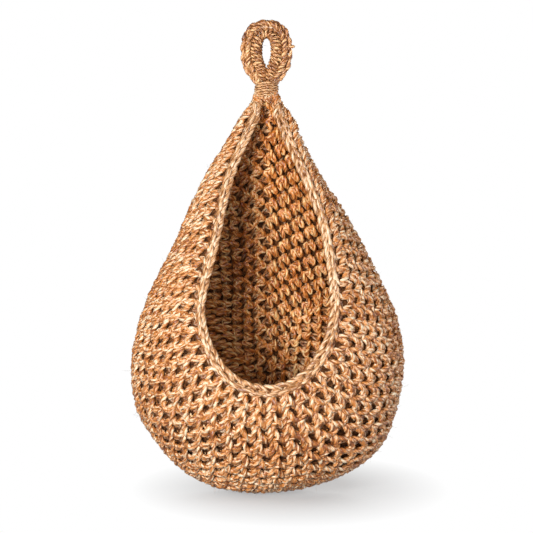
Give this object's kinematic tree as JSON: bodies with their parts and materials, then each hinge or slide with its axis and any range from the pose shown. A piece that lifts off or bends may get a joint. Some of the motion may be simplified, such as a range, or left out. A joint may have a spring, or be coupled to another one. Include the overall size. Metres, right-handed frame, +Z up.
{
  "type": "hanging fruit basket",
  "caption": "Drop-shaped basket crocheted from natural jute twine, with a tall open mouth in front, a bound neck and a crocheted loop to hang it from a hook.",
  "frame": {"origin": "top of the hanging loop's eye, where a hook bears", "axes": "+Z up, the mouth faces -Y, +X to the right seen from the mouth"},
  "size_m": [0.2482, 0.1497, 0.4355],
  "materials": {
    "crochet_jute": "twisted jute twine in single crochet, matt with fine pale fibres",
    "rim_jute": "twisted jute twine in a flat chain braid, matt, a little paler than the body",
    "binding_twine": "thin jute twine wound tight, matt",
    "loop_jute": "twisted jute twine worked round a cord, matt",
    "core_cord": "plain jute cord, hidden"
  },
  "bodies": {
    "hanging_loop": {"loop_wrap": "loop_jute", "loop_core": "core_cord", "loop_edge": "loop_jute"},
    "neck_binding": {"neck_gather": "crochet_jute", "neck_whipping": "binding_twine", "loop_tail_left": "core_cord", "loop_tail_right": "core_cord"},
    "basket": {"mouth_rim": "rim_jute", "round_01": "crochet_jute", "round_02": "crochet_jute", "round_03": "crochet_jute", "round_04": "crochet_jute", "round_05": "crochet_jute", "round_06": "crochet_jute", "round_07": "crochet_jute", "round_08": "crochet_jute", "round_09": "crochet_jute", "round_10": "crochet_jute", "round_11": "crochet_jute", "round_12": "crochet_jute", "round_13": "crochet_jute", "round_14": "crochet_jute", "round_15": "crochet_jute", "round_16": "crochet_jute", "round_17": "crochet_jute", "round_18": "crochet_jute", "round_19": "crochet_jute", "round_20": "crochet_jute"}
  },
  "joints": [
    {"name": "neck_fold", "type": "hinge", "parent": "hanging_loop", "child": "neck_binding", "pos_m": [0, 0, -0.034], "axis": [1, 0, 0], "range_deg": [-80, 80]},
    {"name": "neck_twist", "type": "hinge", "parent": "neck_binding", "child": "basket", "pos_m": [0, 0, -0.05475], "axis": [0, 0, 1], "range_deg": [-60, 60], "stiffness_Nm_per_rad": 0.02}
  ]
}
